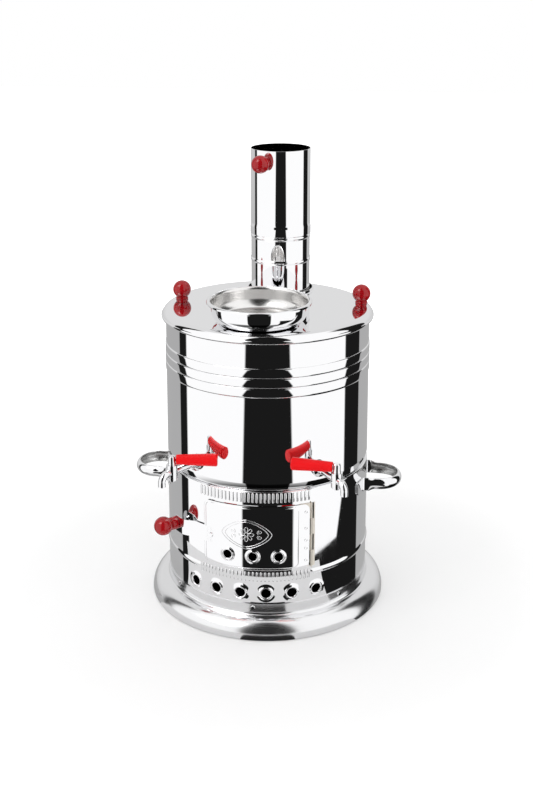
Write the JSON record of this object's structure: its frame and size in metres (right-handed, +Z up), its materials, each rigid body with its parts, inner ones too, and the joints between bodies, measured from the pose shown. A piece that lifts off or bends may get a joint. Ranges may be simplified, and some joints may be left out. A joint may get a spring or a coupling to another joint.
{
  "type": "samovar",
  "caption": "Upright cylindrical charcoal samovar with a hinged fire door, lever taps, side handles, lift-off lid and bowl, and a slip-on chimney over a flared base.",
  "frame": {"origin": "on the body's axis at the underside of the base skirt", "axes": "+Z up along the body, -Y towards the fire door and taps, +X to the right seen from the front"},
  "size_m": [0.324, 0.2879, 0.5323],
  "materials": {
    "polished_steel": "mirror-polished stainless sheet",
    "satin_steel": "spun stainless sheet with fine concentric lines",
    "inner_steel": "plain mill-finish stainless sheet",
    "hinge_steel": "pale plated steel strip",
    "tap_chrome": "polished chromium plate on cast metal",
    "screw_steel": "plated steel",
    "red_plastic": "dark glossy red",
    "red_grip": "bright glossy red",
    "seal_rubber": "black, matte"
  },
  "bodies": {
    "base": {"base_skirt": "satin_steel", "skirt_screws": "screw_steel", "firebox_casing": "polished_steel", "casing_hinge_leaf": "hinge_steel", "hinge_pin": "hinge_steel", "ash_tray": "inner_steel", "grate_ring": "inner_steel", "grate": "inner_steel", "tank_shell": "polished_steel", "tank_floor": "inner_steel", "flue_tube": "inner_steel", "handle_left": "polished_steel", "handle_right": "polished_steel", "tap_body_left": "tap_chrome", "tap_body_right": "tap_chrome", "tap_seal_left": "seal_rubber", "tap_seal_right": "seal_rubber", "tap_nut_left": "screw_steel", "tap_nut_right": "screw_steel"},
    "door": {"fire_door": "polished_steel", "door_hinge_leaf": "hinge_steel", "door_catch": "screw_steel", "door_catch_rivet": "screw_steel", "latch_knob": "red_plastic", "latch_knob_screw": "screw_steel"},
    "tap_lever_left": {"tap_plug_left": "tap_chrome", "tap_grip_left": "red_grip", "tap_plug_screw_left": "screw_steel"},
    "tap_lever_right": {"tap_plug_right": "tap_chrome", "tap_grip_right": "red_grip", "tap_plug_screw_right": "screw_steel"},
    "lid_group": {"lid": "polished_steel", "lid_knob_left": "red_plastic", "lid_knob_right": "red_plastic", "lid_knob_screws": "screw_steel"},
    "bowl_group": {"bowl": "satin_steel"},
    "lower_pipe": {"chimney_lower": "polished_steel"},
    "upper_pipe": {"chimney_upper": "polished_steel", "chimney_knob": "red_plastic", "chimney_knob_stud": "screw_steel"}
  },
  "joints": [
    {"name": "door_hinge", "type": "hinge", "parent": "base", "child": "door", "pos_m": [0.06485, -0.10298, 0.1167], "axis": [0, 0, 1], "range_deg": [0, 140]},
    {"name": "tap_left_turn", "type": "hinge", "parent": "base", "child": "tap_lever_left", "pos_m": [-0.08949, -0.13021, 0.195], "axis": [0, 0, -1], "range_deg": [0, 90]},
    {"name": "tap_right_turn", "type": "hinge", "parent": "base", "child": "tap_lever_right", "pos_m": [0.09465, -0.12652, 0.195], "axis": [0, 0, 1], "range_deg": [0, 90]},
    {"name": "lid_lift", "type": "slide", "parent": "base", "child": "lid_group", "axis": [0, 0, 1], "range_m": [0, 0.12]},
    {"name": "bowl_lift", "type": "slide", "parent": "lid_group", "child": "bowl_group", "axis": [0, 0, 1], "range_m": [0, 0.1]},
    {"name": "chimney_lift", "type": "slide", "parent": "base", "child": "lower_pipe", "axis": [0, 0, 1], "range_m": [0, 0.03]},
    {"name": "chimney_top_lift", "type": "slide", "parent": "lower_pipe", "child": "upper_pipe", "axis": [0, 0, 1], "range_m": [0, 0.02]}
  ]
}
